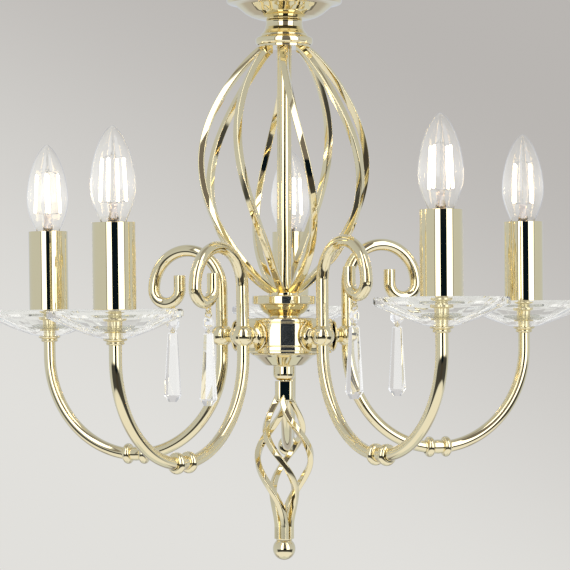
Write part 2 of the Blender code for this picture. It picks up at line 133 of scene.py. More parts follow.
def set_axes(number):
    """An arm's frame as it sits in its joint: Z along its lamp, through the same eye."""
    up = Vector(JOINTS[f"bulb_{number}_unscrew"]["axis"])
    across = up.cross(Vector(JOINTS[f"link_{number}_swing"]["axis"])).normalized()
    turned = Matrix((across.cross(up), across, up)).transposed().to_4x4()
    eye = Vector((DROP_X * MM, 0, EYE_Z * MM))
    return Matrix.Translation(eye_axes(number) @ eye - turned @ eye) @ turned


# Making meshes


def finished(mesh, sharp_angle=38.0):
    """Turns a mesh's faces outwards and shades it smooth, apart from its hard edges."""
    solid = bmesh.new()
    solid.from_mesh(mesh)
    bmesh.ops.remove_doubles(solid, verts=solid.verts, dist=1e-7)
    bmesh.ops.recalc_face_normals(solid, faces=solid.faces)
    solid.to_mesh(mesh)
    solid.free()
    mesh.shade_smooth()
    mesh.set_sharp_from_angle(angle=math.radians(sharp_angle))
    return mesh


def mesh_from(name, points, faces, sharp_angle=38.0):
    mesh = bpy.data.meshes.new(name)
    mesh.from_pydata([Vector(p) * MM for p in points], [], faces)
    return finished(mesh, sharp_angle)


def filleted(outline, radius, steps=3):
    """A closed outline with its corners rounded, apart from those on the turning axis."""
    done = []
    count = len(outline)
    for i, here in enumerate(outline):
        corner = Vector(here)
        back = Vector(outline[i - 1]) - corner
        ahead = Vector(outline[(i + 1) % count]) - corner
        if here[0] < 1e-6 or back.length < 1e-6 or ahead.length < 1e-6:
            done.append(tuple(corner))
            continue
        reach = min(radius, back.length * 0.45, ahead.length * 0.45)
        start, end = corner + back.normalized() * reach, corner + ahead.normalized() * reach
        for k in range(steps + 1):
            t = k / steps
            done.append(tuple(start * (1 - t) ** 2 + corner * 2 * t * (1 - t) + end * t**2))
    return done


def lathe(name, outline, sides=64, fillet=0.4, sharp_angle=38.0):
    """A solid turned round Z from a closed outline of (radius, height) points."""
    profile = filleted(outline, fillet) if fillet else outline
    points, rings, faces = [], [], []
    for radius, height in profile:
        first = len(points)
        count = 1 if radius < 1e-6 else sides
        for i in range(count):
            a = 2 * math.pi * i / sides
            points.append((radius * math.cos(a), radius * math.sin(a), height))
        rings.append([first + i % count for i in range(sides)])
    for lower, upper in zip(rings, rings[1:] + rings[:1]):
        for i in range(sides):
            j = (i + 1) % sides
            corners = list(dict.fromkeys((lower[i], lower[j], upper[j], upper[i])))
            if len(corners) > 2:
                faces.append(corners)
    return mesh_from(name, points, faces, sharp_angle)


def tube_outline(inner, outer, low, high):
    """A ring's or tube's outline, for lathe."""
    return [(inner, low), (outer, low), (outer, high), (inner, high)]


def arc(x, z, radius_x, radius_z, start, end, steps):
    """Points on an ellipse, with angles in degrees."""
    turns = [math.radians(start + (end - start) * i / steps) for i in range(steps + 1)]
    return [(x + radius_x * math.cos(a), z + radius_z * math.sin(a)) for a in turns]


def circle(radius, sides):
    turns = [2 * math.pi * i / sides for i in range(sides)]
    return [(radius * math.cos(a), radius * math.sin(a)) for a in turns]


def soft_square(width, corner, steps=3):
    """A square section with rounded corners."""
    half = width / 2 - corner
    outline = []
    for quarter, (x, y) in enumerate(((half, half), (-half, half), (-half, -half), (half, -half))):
        outline += arc(x, y, corner, corner, 90 * quarter, 90 * quarter + 90, steps)
    return outline


def joined_rings(rings, sides, closed=True):
    """Faces between rings of points, each ring to the next, and the last to the first if closed."""
    faces = []
    for k in range(rings if closed else rings - 1):
        here, there = k * sides, (k + 1) % rings * sides
        for i in range(sides):
            j = (i + 1) % sides
            faces.append((here + i, here + j, there + j, there + i))
    return faces


def capped_rings(rings, sides):
    """Faces between rings of points, with the first and last rings filled in."""
    last = (rings - 1) * sides
    caps = [tuple(range(sides)), tuple(reversed(range(last, last + sides)))]
    return joined_rings(rings, sides, closed=False) + caps


def sweep(name, path, frames, sections, closed=False):
    """A solid swept along a path. Each frame is two unit vectors that span its section's plane."""
    points = []
    sides = len(sections[0])
    for centre, (side, rise), outline in zip(path, frames, sections):
        points += [Vector(centre) + side * a + rise * b for a, b in outline]
    faces = joined_rings(len(path), sides) if closed else capped_rings(len(path), sides)
    return mesh_from(name, points, faces)


def flat_frames(path):
    """Frames for a path that stays in the XZ plane."""
    frames = []
    for i in range(len(path)):
        ahead = Vector(path[min(i + 1, len(path) - 1)]) - Vector(path[max(i - 1, 0)])
        ahead.normalize()
        frames.append((Vector((0, 1, 0)), Vector((-ahead.z, 0, ahead.x))))
    return frames


def wire_ring(name, radius, wire, across=(0, 1, 0), steps=48, sides=12):
    """A wire ring round the origin. across is the ring's own axis."""
    axis = Vector(across)
    up = Vector((0, 0, 1))
    other = axis.cross(up)
    path, frames = [], []
    for i in range(steps):
        a = 2 * math.pi * i / steps
        out = other * math.cos(a) + up * math.sin(a)
        path.append(out * radius)
        frames.append((out, axis))
    return sweep(name, path, frames, [circle(wire, sides)] * steps, closed=True)


def joined(name, *meshes):
    """One mesh from several whose surfaces meet."""
    solid = bmesh.new()
    for mesh in meshes:
        solid.from_mesh(mesh)
        bpy.data.meshes.remove(mesh)
    mesh = bpy.data.meshes.new(name)
    solid.to_mesh(mesh)
    solid.free()
    return mesh


def moved(mesh, x=0.0, y=0.0, z=0.0):
    mesh.transform(Matrix.Translation(Vector((x, y, z)) * MM))
    return mesh


def laid_along_x(mesh):
    mesh.transform(Matrix.Rotation(math.radians(90), 4, "Y"))
    return mesh


def box_mesh(name, low, high, corner):
    """A block with rounded edges."""
    solid = bmesh.new()
    bmesh.ops.create_cube(solid, size=1.0)
    size = Vector(high) - Vector(low)
    middle = (Vector(high) + Vector(low)) / 2
    bmesh.ops.scale(solid, vec=size * MM, verts=solid.verts)
    bmesh.ops.translate(solid, vec=middle * MM, verts=solid.verts)
    bmesh.ops.bevel(
        solid,
        geom=solid.edges[:],
        offset=corner * MM,
        segments=3,
        profile=0.5,
        affect="EDGES",
    )
    mesh = bpy.data.meshes.new(name)
    solid.to_mesh(mesh)
    solid.free()
    return finished(mesh)


def place(name, mesh, finish, where, body=CHANDELIER, stands_for=()):
    """Puts a copy of a shape in the scene, on its body, with its flat faces kept flat."""
    settled = mesh.copy()
    settled.transform(where)
    settled.materials.append(finish)
    piece = bpy.data.objects.new(name, settled)
    bpy.context.scene.collection.objects.link(piece)
    normals = piece.modifiers.new("even_normals", "WEIGHTED_NORMAL")
    normals.keep_sharp = True
    normals.weight = 90
    piece.visible_glossy = finish is not FILAMENT
    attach(piece, body)
    if stands_for:
        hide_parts(*stands_for)
    return piece


# Materials


class Graph:
    """Short forms for node trees. A value is a number, a colour or another node's output."""

    def __init__(self, tree):
        self.nodes, self.links = tree.nodes, tree.links

    def feed(self, node, inputs):
        """Sets or links a node's inputs, from a dictionary of their names or numbers."""
        for name, value in inputs.items():
            socket_of = node.inputs[name]
            if isinstance(value, bpy.types.NodeSocket):
                self.links.new(value, socket_of)
            elif socket_of.type == "RGBA":
                socket_of.default_value = (*value, 1)
            else:
                socket_of.default_value = value
        return node

    def node(self, kind, inputs, **settings):
        node = self.nodes.new("ShaderNode" + kind)
        for name, value in settings.items():
            setattr(node, name, value)
        return self.feed(node, inputs)

    def place(self, kind):
        """One of the texture coordinates: Object, Generated or Window."""
        return self.node("TexCoord", {}).outputs[kind]

    def parts(self, vector):
        """The X, Y and Z of a vector."""
        return self.node("SeparateXYZ", {0: vector}).outputs

    def noise(self, scale, detail=3.0, stretch=(1, 1, 1)):
        """Noise in the piece's own space. scale counts the noise's cells in a metre."""
        mapped = self.node("Mapping", {"Vector": self.place("Object"), "Scale": stretch}).outputs[0]
        return self.node("TexNoise", {"Vector": mapped, "Scale": scale, "Detail": detail}).outputs["Fac"]

    def ranged(self, value, low, high, start=0.3, end=0.7, kind="LINEAR"):
        """low where value is at start and high where it is at end, and held beyond them."""
        inputs = {"Value": value, "To Min": low, "To Max": high, "From Min": start, "From Max": end}
        return self.node("MapRange", inputs, interpolation_type=kind).outputs["Result"]

    def step(self, value, low, high):
        """0 below low, 1 above high, smooth between. It falls instead if low is above high."""
        ends = (0, 1) if low <= high else (1, 0)
        return self.ranged(value, *ends, min(low, high), max(low, high), "SMOOTHSTEP")

    def band(self, value, low, high, soft):
        """1 from low to high and 0 outside them, with soft edges."""
        rising = self.step(value, low - soft, low + soft)
        falling = self.step(value, high + soft, high - soft)
        return self.maths("MULTIPLY", rising, falling)

    def maths(self, operation, first, second=None):
        inputs = {0: first} if second is None else {0: first, 1: second}
        return self.node("Math", inputs, operation=operation).outputs[0]

    def mix(self, factor, first, second):
        """A colour, first where the factor is 0 and second where it is 1."""
        inputs = {"Factor": factor, "A": first, "B": second}
        return self.node("Mix", inputs, data_type="RGBA").outputs["Result"]

    def bump(self, *heights):
        """A normal from (height value, depth in metres) pairs."""
        normal = None
        for height, depth in heights:
            bump = self.node("Bump", {"Strength": 1.0, "Distance": depth, "Height": height})
            if normal:
                self.feed(bump, {"Normal": normal})
            normal = bump.outputs["Normal"]
        return normal


def node_material(name):
    material = bpy.data.materials.new(name)
    material.use_nodes = True
    graph = Graph(material.node_tree)
    return material, graph, graph.nodes["Principled BSDF"]


def polished_brass(name, wave=0.00002, haze=0.0):
    """Mirror-polished pale brass. wave is the depth of its soft unevenness, haze its lacquer's bloom."""
    material, graph, shader = node_material(name)
    patches = graph.noise(45)
    wipes = graph.noise(260, 5, (1, 1, 0.15))
    waves = graph.noise(55, 2)
    hairlines = graph.noise(1500, 4, (1, 1, 0.04))
    looks = {
        "Metallic": 1.0,
        "Base Color": graph.mix(patches, (0.905, 0.775, 0.46), (0.925, 0.80, 0.49)),
        "Roughness": graph.ranged(wipes, 0.015, 0.055),
        "Coat Weight": max(haze, 0.15),
        "Coat Roughness": 0.5 if haze else 0.02,
        "Coat IOR": 1.5 + 0.25 * haze,
        "Normal": graph.bump((waves, wave), (hairlines, 0.0000006)),
    }
    graph.feed(shader, looks)
    return material


def clear_glass(name, tint, ripple=0.00001, ior=1.5, gloss=0.0, sparkle=0.0):
    """Clear glass with a faint ripple and a trace of lead or soda tint.

    gloss brightens its mirror. sparkle stands for light that its many cuts scatter to the eye.
    """
    material, graph, shader = node_material(name)
    paler = tuple(min(1.0, c + 0.01) for c in tint)
    looks = {
        "Transmission Weight": 1.0,
        "IOR": ior,
        "Coat Weight": gloss,
        "Coat IOR": 1.6,
        "Coat Roughness": 0.0,
        "Emission Color": (1.0, 1.0, 1.0),
        "Emission Strength": sparkle,
        "Base Color": graph.mix(graph.noise(60, 2), tint, paler),
        "Roughness": graph.ranged(graph.noise(180, 4), 0.0, 0.012),
        "Normal": graph.bump((graph.noise(90, 2), ripple)),
    }
    graph.feed(shader, looks)
    return material


def glowing_glass(name):
    """Clear lamp glass, faintly lit from within round its filaments."""
    material = clear_glass(name, (0.995, 0.995, 0.985), ripple=0.000003, ior=1.42)
    graph = Graph(material.node_tree)
    along = graph.parts(graph.place("Generated"))["Z"]
    rising = graph.ranged(along, 0.0, 0.055, 0.06, 0.42)
    falling = graph.ranged(along, 1.0, 0.15, 0.45, 0.95)
    lit = graph.maths("MULTIPLY", rising, falling)
    glow = {"Emission Color": (1.0, 0.98, 0.94), "Emission Strength": lit}
    graph.feed(graph.nodes["Principled BSDF"], glow)
    return material


def plain_metal(name, dark, light, rough_low, rough_high, grain=(1, 1, 1)):
    """Plated steel with a drawn or rolled grain."""
    material, graph, shader = node_material(name)
    streaks = graph.noise(700, 4, grain)
    looks = {
        "Metallic": 1.0,
        "Base Color": graph.mix(graph.noise(220), dark, light),
        "Roughness": graph.ranged(streaks, rough_low, rough_high),
        "Normal": graph.bump((streaks, 0.000008)),
    }
    graph.feed(shader, looks)
    return material


def moulded(name, dark, light, rough=0.45):
    """Moulded plastic with a fine orange-peel surface."""
    material, graph, shader = node_material(name)
    grain = graph.noise(1600)
    looks = {
        "Base Color": graph.mix(graph.noise(90), dark, light),
        "Roughness": graph.ranged(grain, rough - 0.06, rough + 0.06),
        "Normal": graph.bump((grain, 0.00003)),
    }
    graph.feed(shader, looks)
    return material


def glowing_filament(name):
    """Phosphor-coated filament, glowing a warm white."""
    material, graph, shader = node_material(name)
    hue = graph.mix(graph.noise(900), (1.0, 0.72, 0.38), (1.0, 0.82, 0.52))
    looks = {"Base Color": hue, "Emission Color": hue, "Emission Strength": 9.0, "Roughness": 0.5}
    graph.feed(shader, looks)
    return material


BRASS = polished_brass("polished_brass")
BRASS_SHEET = polished_brass("polished_brass_sheet", wave=0.000006)
BRASS_HUB = polished_brass("lacquered_brass", wave=0.000006, haze=1.0)
BRASS_TUBE = polished_brass("polished_brass_tube", wave=0.000012)
BRASS_CAST = polished_brass("polished_brass_cast", wave=0.00004)
CUT_GLASS = clear_glass("cut_glass", (0.985, 0.99, 0.975), 0.000002, 1.09, gloss=0.06, sparkle=0.012)
CRYSTAL = clear_glass("lead_crystal", (0.98, 0.985, 0.995), 0.000004, 1.5, sparkle=0.07)
LAMP_GLASS = glowing_glass("lamp_glass")
STEM_GLASS = clear_glass("stem_glass", (0.97, 0.90, 0.88), ior=1.5)
CLEAR_RUBBER = clear_glass("clear_rubber", (0.68, 0.68, 0.60), ior=1.13)
FILAMENT = glowing_filament("lit_filament")
NICKEL = plain_metal("nickel_plate", (0.72, 0.71, 0.68), (0.80, 0.79, 0.76), 0.12, 0.28)
ZINC = plain_metal("zinc_plate", (0.55, 0.56, 0.56), (0.66, 0.66, 0.64), 0.28, 0.42, (1, 0.1, 1))
BAKELITE = moulded("cream_bakelite", (0.74, 0.70, 0.60), (0.80, 0.77, 0.69))
SHEATH = moulded("cable_sheath", (0.80, 0.78, 0.72), (0.86, 0.84, 0.79), rough=0.5)


# The spine


def ceiling_rose():
    """Spun bowl with a rolled brim against the ceiling."""
    top = ROSE_HIGH.z
    brim = (ROSE_HIGH.x - ROSE_LOW.x) / 2
    base = ROSE_LOW.z
    outer = [(16.2, base), (21.0, base + 0.6), (27.0, base + 2.5), (32.0, base + 5.3)]
    outer += [(36.0, base + 8.6), (39.5, base + 11.6), (43.0, base + 12.7), (46.2, base + 13.2)]
    outer.append((brim, base + 14.6))
    inner = [(44.5, top), (44.5, base + 15.4), (40.2, base + 14.0), (36.8, base + 11.5)]
    inner += [(33.4, base + 8.4), (27.0, base + 4.4), (21.0, base + 2.4), (BORE_R, base + 1.9)]
    return lathe("rose_bowl", [(BORE_R, base), *outer, (brim, top), *inner], 128, 0.9)


def collar_bell():
    """Turned bell with a beaded waist and a wide foot."""
    top = spine_box("top_collar")[1].z
    foot = spine_box("top_collar")[0].z
    waist = [(14.6, top), (15.1, top - 0.7), (14.9, top - 1.6)]
    flare = [(14.9, top - 3.0), (15.4, top - 5.5), (16.4, top - 8.0), (17.9, top - 10.3)]
    bead = [(18.7, top - 10.9), (19.1, top - 11.8), (18.8, top - 12.7)]
    band = [(21.4, top - 13.3), (23.2, top - 14.6), (23.6, top - 15.8), (23.6, foot + 1.9)]
    outer = [*waist, *flare, *bead, *band, (22.9, foot + 0.6), (22.4, foot)]
    recess = [(21.8, foot), (21.6, foot + 3.2), (BORE_R, foot + 3.2)]
    return lathe("collar_bell", [(BORE_R, top), *outer, *recess], 96, 0.35)


CAGE_BARS = 8
CAGE_TOP = CAGE_HIGH.z - 5.7
CAGE_FOOT = CAGE_LOW.z + 3.0
CAGE_TOP_R = 17.0
CAGE_FOOT_R = 9.2
CAGE_BULGE = 57.0
CAGE_TWIST = math.radians(36)
BAR_ROLL = math.radians(22)


def cage_point(u, first_turn):
    """A point on a cage bar's centreline at u, from 0 at the top to 1 at the bottom."""
    bulge = CAGE_BULGE * math.sin(math.pi * u**1.06) ** 0.75
    radius = CAGE_TOP_R + (CAGE_FOOT_R - CAGE_TOP_R) * u + bulge
    turn = first_turn + CAGE_TWIST * u
    height = CAGE_TOP + (CAGE_FOOT - CAGE_TOP) * u
    return Vector((radius * math.cos(turn), radius * math.sin(turn), height))


def spread(count):
    """Values from 0 to 1, closer together near both ends."""
    return [(1 - math.cos(math.pi * i / count)) / 2 for i in range(count + 1)]


def bar_frame(point_at, u):
    """The two vectors of a bar's section. Its faces are rolled at the top, and square to the axis below."""
    step = 0.004
    here = point_at(u)
    ahead = (point_at(min(u + step, 1)) - point_at(max(u - step, 0))).normalized()
    out = Vector((here.x, here.y, 0)).normalized()
    side = ahead.cross(out).normalized()
    rolled = Matrix.Rotation(BAR_ROLL * (1 - u), 3, ahead)
    return rolled @ side, rolled @ side.cross(ahead)


def cage_bars():
    bars = []
    outline = soft_square(5.4, 0.8)
    stations = spread(110)
    for bar in range(CAGE_BARS):
        first_turn = math.radians(-91 + 360 / CAGE_BARS * bar)
        path = [cage_point(u, first_turn) for u in stations]
        frames = [bar_frame(lambda u, f=first_turn: cage_point(u, f), u) for u in stations]
        bars.append(sweep(f"bar_{bar}", path, frames, [outline] * len(path)))
    top = tube_outline(BORE_R, 21.2, CAGE_HIGH.z - 5, CAGE_HIGH.z)
    foot = tube_outline(BORE_R, 13.2, CAGE_LOW.z, CAGE_LOW.z + 2.6)
    return joined("bowed_bars", *bars, lathe("top_ring", top), lathe("foot_ring", foot))


def rod():
    low, high = spine_box("centre_rod")
    return lathe("rod_tube", tube_outline(4.0, 6.0, low.z, high.z), 48, 0.3)


def cap_of_hub():
    low, high = spine_box("hub_cap")
    base, top = low.z, high.z
    outer = [(12.9, base), (12.9, base + 1.6), (13.6, base + 2.4), (16.4, base + 4.0), (19.0, base + 6.6)]
    outer += [(20.8, base + 9.2), (21.4, base + 10.7), (25.9, base + 10.9), (26.4, base + 11.5)]
    outer += [(26.4, top - 0.6), (25.8, top), (14.8, top)]
    return lathe("hub_cap_turning", [(BORE_R, base), *outer, (BORE_R, top)], 96, 0.35)


def drum_of_hub():
    low, high = spine_box("hub_body")
    radius = (high.x - low.x) / 2
    shoulder = [(radius - 2.6, high.z), (radius - 0.9, high.z - 0.5), (radius - 0.3, high.z - 1.6)]
    shoulder += [(radius - 0.3, high.z - 3.0), (radius - 0.9, high.z - 3.4), (radius - 0.9, high.z - 3.8)]
    wall = [(radius, high.z - 4.2), (radius, low.z + 6.2)]
    wall += [(radius - 0.6, low.z + 5.9), (radius - 0.6, low.z + 5.5)]
    foot = [(radius, low.z + 5.2), (radius, low.z + 2.2), (radius - 0.9, low.z + 1.8), (radius - 0.9, low.z)]
    floor = [(20.0, low.z), (20.0, low.z + 2.5), (radius - 2.5, low.z + 2.5)]
    roof = [(radius - 2.5, high.z - 2.5), (BORE_R, high.z - 2.5)]
    return lathe("hub_drum", [(BORE_R, high.z), *shoulder, *wall, *foot, *floor, *roof], 160, 0.25)


def base_of_hub():
    low, high = spine_box("hub_base")
    top, bottom = high.z, low.z
    cone = [(27.2, top), (27.5, top - 0.6), (27.2, top - 1.2), (24.0, top - 3.0), (16.2, top - 9.4)]
    cone += [(15.2, top - 10.0), (9.6, top - 10.2)]
    ferrule = [(9.2, top - 10.8), *arc(4.4, bottom + 5.4, 4.8, 5.4, 0, -90, 10)]
    return lathe("hub_cone", [(0, top), *cone, *ferrule, (4.3, top - 12), (0, top - 12)], 96, 0.3)


BASKET_TOP = -62
BASKET_HEIGHT = 108
BASKET_NECK_R = 5.0
BASKET_BULGE = 17.2
BASKET_TWIST = math.radians(209)
STRANDS = 4
STRAND_STEPS = 150


def finial_point(u, first_turn):
    """A point on a finial strand's centreline at u, from 0 at the basket's top to 1 at its bottom."""
    held = min(max(u, 0), 1)
    radius = BASKET_NECK_R + BASKET_BULGE * math.sin(math.pi * held**0.85) ** 1.75
    turn = first_turn + BASKET_TWIST * held
    return Vector((radius * math.cos(turn), radius * math.sin(turn), BASKET_TOP - BASKET_HEIGHT * u))


def strand_roll(u):
    """A strand's faces roll by an eighth of a turn where the strands run together above the ball."""
    held = min(max((1 - u) / 0.22, 0), 1)
    return math.radians(45) * (1 - held * held * (3 - 2 * held))


def finial_strands():
    strands = []
    outline = soft_square(4.9, 0.9)
    stations = [-0.09 + 1.19 * i / STRAND_STEPS for i in range(STRAND_STEPS + 1)]
    for strand in range(STRANDS):
        first_turn = math.radians(-199 + 360 / STRANDS * strand)
        path = [finial_point(u, first_turn) for u in stations]
        frames = []
        for i, here in enumerate(path):
            ahead = (path[min(i + 1, STRAND_STEPS)] - path[max(i - 1, 0)]).normalized()
            out = Vector((here.x, here.y, 0)).normalized()
            side = ahead.cross(out).normalized()
            turned = Matrix.Rotation(strand_roll(stations[i]), 3, ahead)
            frames.append((turned @ side, turned @ side.cross(ahead)))
        strands.append(sweep(f"strand_{strand}", path, frames, [outline] * len(path)))
    peg = lathe("peg", tube_outline(0, 3.9, -66, -41))
    foot = lathe("foot", tube_outline(0, 4.4, -182, -166))
    return joined("twisted_strands", *strands, neck_block(), peg, foot)


def neck_block():
    """Square block with well-rounded corners, in which the strands end under the hub."""
    turned = Matrix.Rotation(math.radians(4), 3, "Z")
    frame_of = (turned @ Vector((1, 0, 0)), turned @ Vector((0, 1, 0)))
    shares = ((-67.5, 0.94), (-66.5, 1.0), (-52.0, 1.0), (-51.4, 0.96))
    path = [(0, 0, z) for z, _ in shares]
    sections = [[(x * size, y * size) for x, y in soft_square(15.4, 4.4, 8)] for _, size in shares]
    return sweep("neck_block", path, [frame_of] * len(path), sections)


def finial_ball():
    radius = 9.3
    middle = FINIAL_TIP + radius
    seat = [(6.6, middle + 7.2), (6.9, middle + 8.3), (4.0, middle + 8.9), (0, middle + 8.9)]
    outline = [(0, middle - radius), *arc(0, middle, radius, radius, -86, 50, 34), *seat]
    return lathe("finial_ball", outline, 96, 0)


def bracket():
    """Pressed strap, its turned boss and two pan-head screws."""
    low, high = spine_box("ceiling_bracket")
    strap = box_mesh("strap", (-35, -9, high.z - 2), (35, 9, high.z), 0.4)
    boss = lathe("boss", tube_outline(BORE_R, 9.5, low.z, high.z - 1.5), 48)
    heads = []
    for x in (-26, 26):
        dome = [(0, high.z - 4.4), *arc(0, high.z - 2.2, 4.2, 2.2, -80, 0, 8), (0, high.z - 2.0)]
        heads.append(moved(lathe("screw_head", dome, 32, 0), x=x))
    return joined("ceiling_strap", strap, boss, *heads)


def wiring():
    """Round cable that rises out of the rod and bends into its connector block."""
    low, high = spine_box("supply_wiring")
    bend = [(x, 0, z) for x, z in arc(6, high.z - 9.2, 6, 6, 180, 90, 12)]
    path = [(0, 0, low.z), (0, 0, 100), (0, 0, 200), *bend, (17, 0, high.z - 3.2)]
    return sweep("cable", path, flat_frames(path), [circle(2.2, 20)] * len(path))


def connector_block():
    high = spine_box("supply_wiring")[1]
    body = box_mesh("block", (15.5, -8, high.z - 6.8), (high.x, 8, high.z), 0.7)
    towers = []
    for y in (-5.0, 0.0, 5.0):
        ring = tube_outline(1.0, 1.9, high.z - 1, high.z + 0.4)
        towers.append(moved(lathe("tower", ring, 24, 0.15), x=20.2, y=y))
    return joined("connector_block", body, *towers)


def build_spine():
    place("rose_bowl", ceiling_rose(), BRASS_SHEET, SPINE, stands_for=["ceiling_rose"])
    place("collar_bell", collar_bell(), BRASS, SPINE, stands_for=["top_collar"])
    place("rod_tube", rod(), BRASS_SHEET, SPINE, stands_for=["centre_rod"])
    place("bowed_bars", cage_bars(), BRASS_TUBE, SPINE, stands_for=["bar_cage"])
    place("hub_cap_turning", cap_of_hub(), BRASS_HUB, SPINE, stands_for=["hub_cap"])
    place("hub_drum", drum_of_hub(), BRASS_HUB, SPINE, stands_for=["hub_body"])
    place("hub_cone", base_of_hub(), BRASS, SPINE, stands_for=["hub_base"])
    place("twisted_strands", finial_strands(), BRASS_CAST, SPINE, stands_for=["twist_finial"])
    place("finial_ball", finial_ball(), BRASS, SPINE)
    place("ceiling_strap", bracket(), ZINC, SPINE, stands_for=["ceiling_bracket"])
    place("supply_cable", wiring(), SHEATH, SPINE, stands_for=["supply_wiring"])
    place("connector_block", connector_block(), BAKELITE, SPINE)


# The arms


def arm_path():
    """Centreline from the scroll's tip to the threaded end under the lamp."""
    outer = CURL_X + CURL_R
    curl = arc(CURL_X, SCROLL_Z, CURL_R, CURL_R, 180, 360, 36)
    loop_r = (outer - INNER) / 2
    loop = arc(INNER + loop_r, SCROLL_Z, loop_r, SCROLL_RISE, 0, 180, 54)
    half = (REACH - INNER) / 2
    bend = arc(INNER + half, BEND_Z, half, BEND_DEPTH, 180, 360, 90)
    tip = [(CURL_X - CURL_R, SCROLL_Z + TIP_RISE), (CURL_X - CURL_R, SCROLL_Z + 5)]
    upright = [(INNER, SCROLL_Z - 18), (INNER, SCROLL_Z - 36)]
    end = [(REACH, BEND_Z + 6), (REACH, BEND_Z + 20), (REACH, 8)]
    return [(x, 0, z) for x, z in (*tip, *curl, *loop[1:], *upright, *bend, *end)]


def bent_tube():
    path = arm_path()
    frames = flat_frames(path)
    sections = [circle(TUBE_R, 32)] * len(path)
    # The scroll's cut end is rounded over.
    lip = Vector(path[0])
    caps = [(0.0, 0.75), (0.25, 0.93), (0.75, 1.0)]
    path = [lip + Vector((0, 0, 0.8 - d)) for d, _ in caps] + path[1:]
    frames = [frames[0]] * len(caps) + frames[1:]
    sections = [circle(TUBE_R * share, 32) for _, share in caps] + sections[1:]
    return sweep("bent_tube", path, frames, sections)


def scroll_eye():
    eye = wire_ring("scroll_eye", EYE_R, 0.8)
    return moved(eye, x=DROP_X, z=EYE_Z)


def dish_seat():
    """Turned seat under the dish: a thin flared disc over a smaller ring."""
    top = DISH_LOW.z - 0.3
    disc = [(9.0, top), (9.4, top - 0.7), (8.8, top - 1.5), (6.9, top - 2.3)]
    ring = [(6.9, top - 3.2), (7.3, top - 3.7), (6.6, top - 4.6), (5.0, top - 5.0)]
    return moved(lathe("dish_seat", [(5.0, top), *disc, *ring], 64, 0.25), x=REACH)


def joint_ball():
    half_angle = math.degrees(math.acos((TUBE_R + 0.3) / BALL_R))
    ball = lathe("joint_ball", arc(0, 0, BALL_R, BALL_R, -half_angle, half_angle, 40), 64, 0.2)
    return moved(ball, x=INNER, z=BALL_Z)


def joint_stub():
    """Flange against the hub, a waisted stub with a raised ring, and the end inside the hub."""
    face = HUB_R + 0.3
    flange = [*arc(12.4, face + 0.95, 0.9, 0.95, -90, 90, 10), (10.2, face + 2.0)]
    neck = [(8.4, face + 2.6), (6.9, face + 3.6), (6.5, face + 4.6), (6.1, face + 5.6), (4.6, face + 6.6)]
    outline = [(0, HUB_R - 6), (3, HUB_R - 6), (3, face), *flange, *neck, (4.6, 48.0), (0, 48.0)]
    return moved(laid_along_x(lathe("joint_stub", outline, 64, 0.3)), z=BALL_Z)


def knuckle():
    """Two rounded rings on a thin collar, with a narrow waist between them."""
    length, ring, collar, bore = 11.3, 8.7, 5.7, 5.2
    first = arc(-7.2, ring - 3.3, 3.5, 3.3, 185, -5, 14)
    second = arc(7.2, ring - 3.3, 3.5, 3.3, 185, -5, 14)
    outside = [(max(radius, collar), along) for along, radius in (*first, (0, 5.95), *second)]
    outline = [(bore, -length), (collar, -length), *outside, (collar, length), (bore, length)]
    turned = laid_along_x(lathe("knuckle_rings", outline, 64, 0))
    middle = (INNER + REACH) / 2
    return moved(turned, x=middle, z=(KNUCKLE_LOW.z + KNUCKLE_HIGH.z) / 2)


DISH_HOLLOW = 15.7


def cut_dish():
    """Clear dish with a deep faceted rim and a star of petals cut into its cone from below."""
    petals = 14
    sides = petals * 4
    low, top = DISH_LOW.z, DISH_HIGH.z
    under = [(9.6, low, 0.0), (16, low + 1.5, 0.05), (30, low + 6.3, 0.35), (43, low + 11.9, 0.8)]
    under.append((DISH_R - 0.9, low + 15.4, 0.3))
    rim = [(DISH_R - 0.1, low + 16.4, 0.0), (DISH_R, top - 1.2, 0.0), (DISH_R - 1.0, top, 0.0)]
    inside = [(DISH_R - 6, top, 0.0), (DISH_R - 6.6, top - 0.5, 0.0), (DISH_R - 9, top - 3.4, 0.0)]
    inside += [(30, top - 10.2, 0.0), (18, top - 14.6, 0.0), (14.0, top - 15.6, 0.0)]
    inside.append((5.7, top - DISH_HOLLOW, 0.0))
    rings = [(5.7, low, 0.0), *under, *rim, *inside]
    points = []
    for radius, height, cut in rings:
        for i in range(sides):
            a = 2 * math.pi * i / sides
            groove = abs((i % 4) - 2) / 2
            points.append((radius * math.cos(a), radius * math.sin(a), height + cut * groove * 1.6))
    faces = joined_rings(len(rings), sides)
    return moved(mesh_from("cut_dish", points, faces, sharp_angle=6.0), x=REACH)


def dish_washer():
    """Soft clear washer, shaped like a lens, that clamps the dish."""
    floor = DISH_HIGH.z - DISH_HOLLOW
    outline = [(4.5, floor + 0.3), (11.0, floor + 0.5), (17.6, floor + 2.2), (17.6, floor + 2.5)]
    outline += [(11.0, floor + 4.0), (4.5, floor + 4.6)]
    return moved(lathe("dish_washer", outline, 64, 0.2), x=REACH)


def nipple_and_cup():
    """Threaded tube up through the glass, and the small cup and plate that carry the sleeve."""
    rim = DISH_HIGH.z - 0.5
    tube = [(3.0, DISH_LOW.z + 0.3), (4.2, DISH_LOW.z + 0.3), (4.2, rim - 5.6), (7.6, rim - 5.0)]
    cup = [(8.2, rim - 4.2), (8.2, rim - 1.3), (15.6, rim - 1.1), (16.0, rim - 0.5), (16.0, rim)]
    return moved(lathe("nipple_cup", [*tube, *cup, (3.0, rim)], 64, 0.25), x=REACH)


